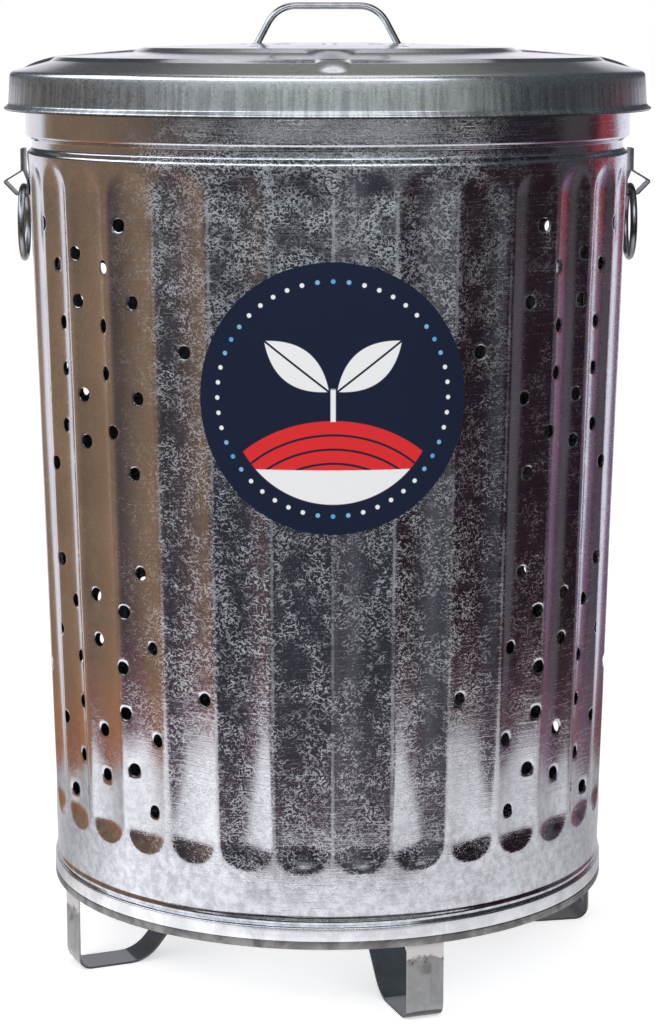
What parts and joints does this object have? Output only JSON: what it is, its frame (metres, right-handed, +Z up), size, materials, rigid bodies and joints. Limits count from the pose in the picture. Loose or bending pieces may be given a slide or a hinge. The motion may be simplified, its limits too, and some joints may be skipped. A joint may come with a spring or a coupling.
{
  "type": "compost bin",
  "caption": "Round galvanised steel compost bin: fluted, vented can on strap legs, with a lift-off vented lid, a wire lid handle and drop-ring side handles.",
  "frame": {"origin": "on the floor under the can's axis", "axes": "+Z up along the can's axis, the label's side faces -Y, the ring handles are on +X and -X"},
  "size_m": [0.4664, 0.464, 0.6939],
  "materials": {
    "wall_galvanised": "hot-dip galvanised sheet with spangle",
    "lid_galvanised": "satin galvanised sheet",
    "foot_galvanised": "satin galvanised sheet",
    "leg_steel": "dull galvanised strap",
    "ear_steel": "dull galvanised strip",
    "ring_steel": "dark galvanised wire",
    "wire_steel": "bright galvanised wire",
    "label_card": "printed card disc"
  },
  "bodies": {
    "can": {"body_shell": "wall_galvanised", "rim_roll": "wall_galvanised", "rim_wire": "wire_steel", "bottom_pan": "foot_galvanised", "seam_band": "foot_galvanised", "base_ring": "foot_galvanised", "label": "label_card", "right_ear": "ear_steel", "left_ear": "ear_steel", "leg_1": "leg_steel", "leg_2": "leg_steel", "leg_3": "leg_steel", "leg_4": "leg_steel"},
    "lid": {"lid_cover": "lid_galvanised", "lid_handle": "wire_steel"},
    "right_ring": {"right_ring": "ring_steel"},
    "left_ring": {"left_ring": "ring_steel"}
  },
  "joints": [
    {"name": "lid_lift", "type": "slide", "parent": "can", "child": "lid", "axis": [0, 0, 1], "range_m": [0, 0.25]},
    {"name": "right_ring_swing", "type": "hinge", "parent": "can", "child": "right_ring", "pos_m": [0.21982, 0, 0.5628], "axis": [0, -1, 0], "range_deg": [0, 140]},
    {"name": "left_ring_swing", "type": "hinge", "parent": "can", "child": "left_ring", "pos_m": [-0.21982, 0, 0.5628], "axis": [0, 1, 0], "range_deg": [0, 140]}
  ]
}
